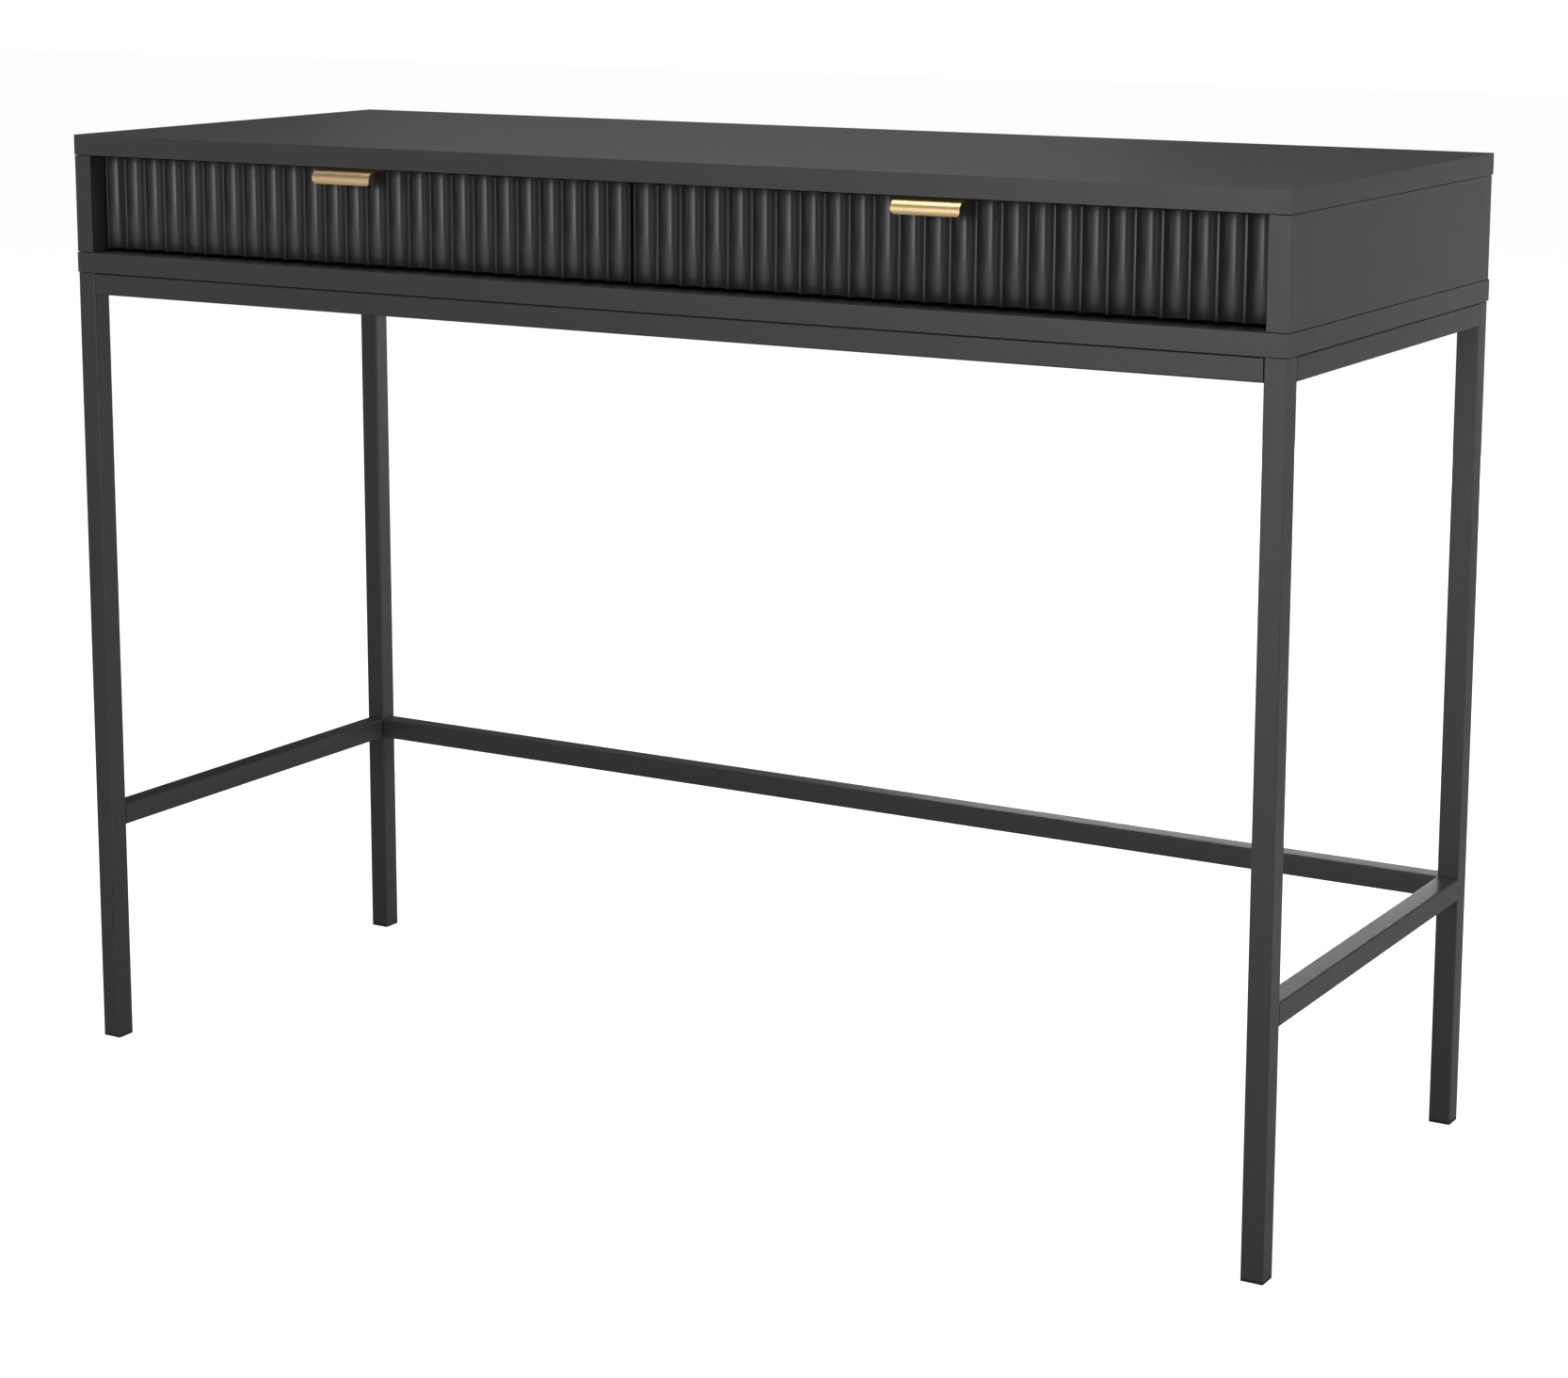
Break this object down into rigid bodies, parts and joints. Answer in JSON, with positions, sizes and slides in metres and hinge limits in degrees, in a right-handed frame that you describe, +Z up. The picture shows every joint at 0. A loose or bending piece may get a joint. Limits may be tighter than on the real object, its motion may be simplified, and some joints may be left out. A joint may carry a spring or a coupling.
{
  "type": "writing desk with drawers",
  "caption": "Narrow writing desk: a shallow box of dark boards on a square-tube steel frame, with fluted inset drawers on ball-bearing slides and small brass edge pulls.",
  "frame": {"origin": "on the floor, at the centre of the footprint box, which includes the 3 mm that the pulls stand out at the front", "axes": "+X to the right of someone sitting at the desk, +Y to the back, +Z up; the drawers open towards -Y"},
  "size_m": [1.04, 0.393, 0.75],
  "materials": {
    "board": "matt graphite laminate",
    "fluted_front": "satin graphite paint on fluted fibreboard",
    "frame_paint": "matt graphite powder coat",
    "drawer_board": "matt grey melamine",
    "thin_panel": "matt grey lacquered hardboard",
    "brass": "satin brushed",
    "slide_steel": "bright zinc",
    "black_screw": "black zinc",
    "foot_plastic": "matt"
  },
  "bodies": {
    "carcass": {"top_panel": "board", "bottom_panel": "board", "left_side_panel": "board", "right_side_panel": "board", "centre_partition": "board", "back_panel": "thin_panel", "front_left_leg": "frame_paint", "front_right_leg": "frame_paint", "back_left_leg": "frame_paint", "back_right_leg": "frame_paint", "left_top_rail": "frame_paint", "right_top_rail": "frame_paint", "left_lower_rail": "frame_paint", "right_lower_rail": "frame_paint", "front_rail": "frame_paint", "rear_rail": "frame_paint", "rear_stretcher": "frame_paint", "front_left_foot_plug": "foot_plastic", "front_right_foot_plug": "foot_plastic", "back_left_foot_plug": "foot_plastic", "back_right_foot_plug": "foot_plastic", "front_rail_left_set_screw": "black_screw", "front_rail_right_set_screw": "black_screw", "rear_rail_left_set_screw": "black_screw", "rear_rail_right_set_screw": "black_screw", "rear_stretcher_left_set_screw": "black_screw", "rear_stretcher_right_set_screw": "black_screw", "front_left_box_screw": "black_screw", "front_right_box_screw": "black_screw", "back_left_box_screw": "black_screw", "back_right_box_screw": "black_screw", "left_drawer_left_slide_cabinet_member": "slide_steel", "left_drawer_right_slide_cabinet_member": "slide_steel", "right_drawer_left_slide_cabinet_member": "slide_steel", "right_drawer_right_slide_cabinet_member": "slide_steel"},
    "left_drawer": {"left_drawer_front": "fluted_front", "left_drawer_pull": "brass", "left_drawer_pull_left_screw": "brass", "left_drawer_pull_right_screw": "brass", "left_drawer_left_side": "drawer_board", "left_drawer_right_side": "drawer_board", "left_drawer_bottom": "thin_panel", "left_drawer_back": "drawer_board", "left_drawer_left_slide_drawer_member": "slide_steel", "left_drawer_right_slide_drawer_member": "slide_steel"},
    "left_drawer_left_middle": {"left_drawer_left_slide_middle_member": "slide_steel"},
    "left_drawer_right_middle": {"left_drawer_right_slide_middle_member": "slide_steel"},
    "right_drawer": {"right_drawer_front": "fluted_front", "right_drawer_pull": "brass", "right_drawer_pull_left_screw": "brass", "right_drawer_pull_right_screw": "brass", "right_drawer_left_side": "drawer_board", "right_drawer_right_side": "drawer_board", "right_drawer_bottom": "thin_panel", "right_drawer_back": "drawer_board", "right_drawer_left_slide_drawer_member": "slide_steel", "right_drawer_right_slide_drawer_member": "slide_steel"},
    "right_drawer_left_middle": {"right_drawer_left_slide_middle_member": "slide_steel"},
    "right_drawer_right_middle": {"right_drawer_right_slide_middle_member": "slide_steel"}
  },
  "joints": [
    {"name": "left_drawer_slide", "type": "slide", "parent": "carcass", "child": "left_drawer", "axis": [0, -1, 0], "range_m": [0, 0.29]},
    {"name": "left_drawer_left_middle_slide", "type": "slide", "parent": "carcass", "child": "left_drawer_left_middle", "axis": [0, -1, 0], "range_m": [0, 0.145]},
    {"name": "left_drawer_right_middle_slide", "type": "slide", "parent": "carcass", "child": "left_drawer_right_middle", "axis": [0, -1, 0], "range_m": [0, 0.145]},
    {"name": "right_drawer_slide", "type": "slide", "parent": "carcass", "child": "right_drawer", "axis": [0, -1, 0], "range_m": [0, 0.29]},
    {"name": "right_drawer_left_middle_slide", "type": "slide", "parent": "carcass", "child": "right_drawer_left_middle", "axis": [0, -1, 0], "range_m": [0, 0.145]},
    {"name": "right_drawer_right_middle_slide", "type": "slide", "parent": "carcass", "child": "right_drawer_right_middle", "axis": [0, -1, 0], "range_m": [0, 0.145]}
  ],
  "couplings": [
    {"joint": "left_drawer_left_middle_slide", "follows": "left_drawer_slide", "ratio": 0.5},
    {"joint": "left_drawer_right_middle_slide", "follows": "left_drawer_slide", "ratio": 0.5},
    {"joint": "right_drawer_left_middle_slide", "follows": "right_drawer_slide", "ratio": 0.5},
    {"joint": "right_drawer_right_middle_slide", "follows": "right_drawer_slide", "ratio": 0.5}
  ]
}
